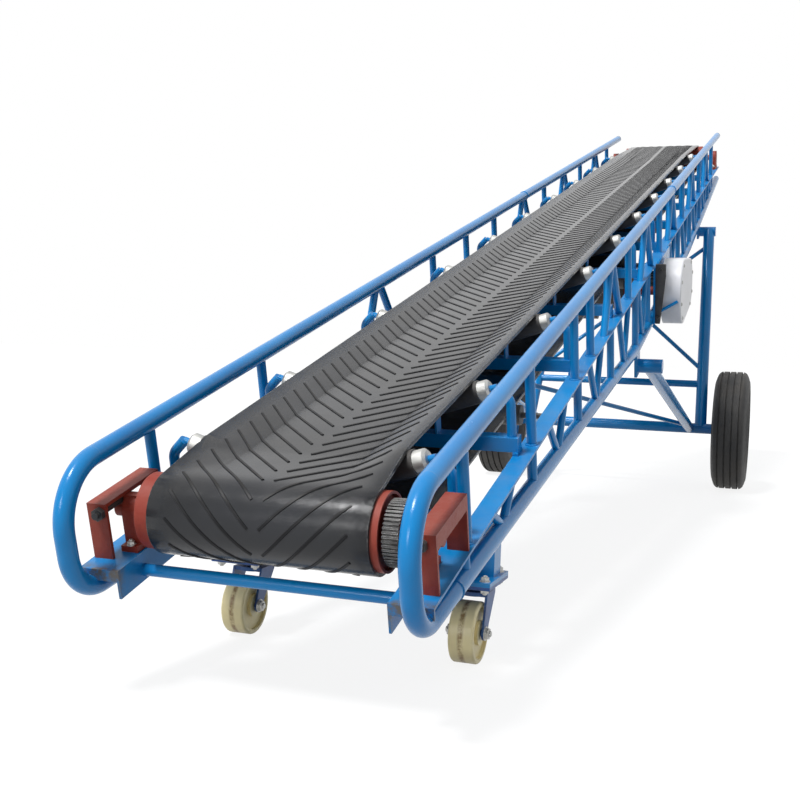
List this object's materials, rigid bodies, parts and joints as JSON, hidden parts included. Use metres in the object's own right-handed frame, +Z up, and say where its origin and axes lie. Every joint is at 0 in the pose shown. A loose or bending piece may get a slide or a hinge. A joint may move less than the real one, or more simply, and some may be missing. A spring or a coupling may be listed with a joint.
{
  "type": "mobile belt conveyor",
  "caption": "Inclined mobile belt conveyor: ribbed rubber belt on a tubular truss with nose loops, idlers, side drive with guard, road wheels on a strut frame and swivel casters at the tail.",
  "frame": {"origin": "on the floor under the middle of the footprint", "axes": "+X right seen from the tail, +Y from the low tail to the raised head, +Z up"},
  "size_m": [1.556, 6.9949, 2.4745],
  "materials": {
    "frame_blue": "worn gloss",
    "red_oxide": "matte primer",
    "belt_rubber": "matte",
    "roller_steel": "zinc plated",
    "dark_iron": "satin",
    "tyre": "matte",
    "nylon": "satin",
    "fork_blue": "gloss",
    "guard_white": "gloss"
  },
  "bodies": {
    "frame": {"top_rail_right": "frame_blue", "nose_loop_right": "frame_blue", "bottom_chord_right": "frame_blue", "side_angle_right": "frame_blue", "upper_web_right": "frame_blue", "lower_web_right": "frame_blue", "top_rail_left": "frame_blue", "nose_loop_left": "frame_blue", "bottom_chord_left": "frame_blue", "side_angle_left": "frame_blue", "upper_web_left": "frame_blue", "lower_web_left": "frame_blue", "rail_plugs": "dark_iron", "belt": "belt_rubber", "tail_drum": "red_oxide", "head_drum": "red_oxide", "tail_toothed_ring": "dark_iron", "takeup_frames": "red_oxide", "tail_bearings": "dark_iron", "takeup_screws": "roller_steel", "head_bearings": "red_oxide", "front_tube": "frame_blue", "idler_crossbars": "frame_blue", "idler_stands": "frame_blue", "centre_rollers": "dark_iron", "side_rollers": "dark_iron", "return_rollers": "dark_iron", "roller_caps": "roller_steel", "return_plates": "frame_blue", "drive_drum": "red_oxide", "bend_rollers": "dark_iron", "drive_plates": "frame_blue", "drive_motor": "dark_iron", "drive_reducer": "dark_iron", "drive_guard": "guard_white", "guard_stay": "frame_blue", "axle_beam": "frame_blue", "rear_posts": "frame_blue", "front_struts": "frame_blue", "post_tie": "frame_blue", "post_braces": "frame_blue", "strut_brace": "frame_blue", "post_sleeves": "frame_blue", "strut_pivots": "frame_blue", "post_hangers": "dark_iron", "strut_hangers": "dark_iron", "caster_pedestals": "frame_blue", "caster_heads": "fork_blue"},
    "caster_fork_right": {"caster_fork_right": "fork_blue"},
    "caster_wheel_right": {"caster_wheel_right": "nylon"},
    "wheel_right": {"tyre_right": "tyre", "rim_right": "frame_blue"},
    "caster_fork_left": {"caster_fork_left": "fork_blue"},
    "caster_wheel_left": {"caster_wheel_left": "nylon"},
    "wheel_left": {"tyre_left": "tyre", "rim_left": "frame_blue"}
  },
  "joints": [
    {"name": "wheel_right_roll", "type": "hinge", "parent": "frame", "child": "wheel_right", "pos_m": [0.685, 1.30226, 0.34], "axis": [1, 0, 0], "continuous": true},
    {"name": "caster_right_swivel", "type": "hinge", "parent": "frame", "child": "caster_fork_right", "pos_m": [0.303, -2.76374, 0.18], "axis": [0, 0, 1], "continuous": true},
    {"name": "caster_right_roll", "type": "hinge", "parent": "caster_fork_right", "child": "caster_wheel_right", "pos_m": [0.303, -2.80874, 0.075], "axis": [1, 0, 0], "continuous": true},
    {"name": "wheel_left_roll", "type": "hinge", "parent": "frame", "child": "wheel_left", "pos_m": [-0.685, 1.30226, 0.34], "axis": [1, 0, 0], "continuous": true},
    {"name": "caster_left_swivel", "type": "hinge", "parent": "frame", "child": "caster_fork_left", "pos_m": [-0.303, -2.76374, 0.18], "axis": [0, 0, 1], "continuous": true},
    {"name": "caster_left_roll", "type": "hinge", "parent": "caster_fork_left", "child": "caster_wheel_left", "pos_m": [-0.303, -2.80874, 0.075], "axis": [1, 0, 0], "continuous": true}
  ]
}
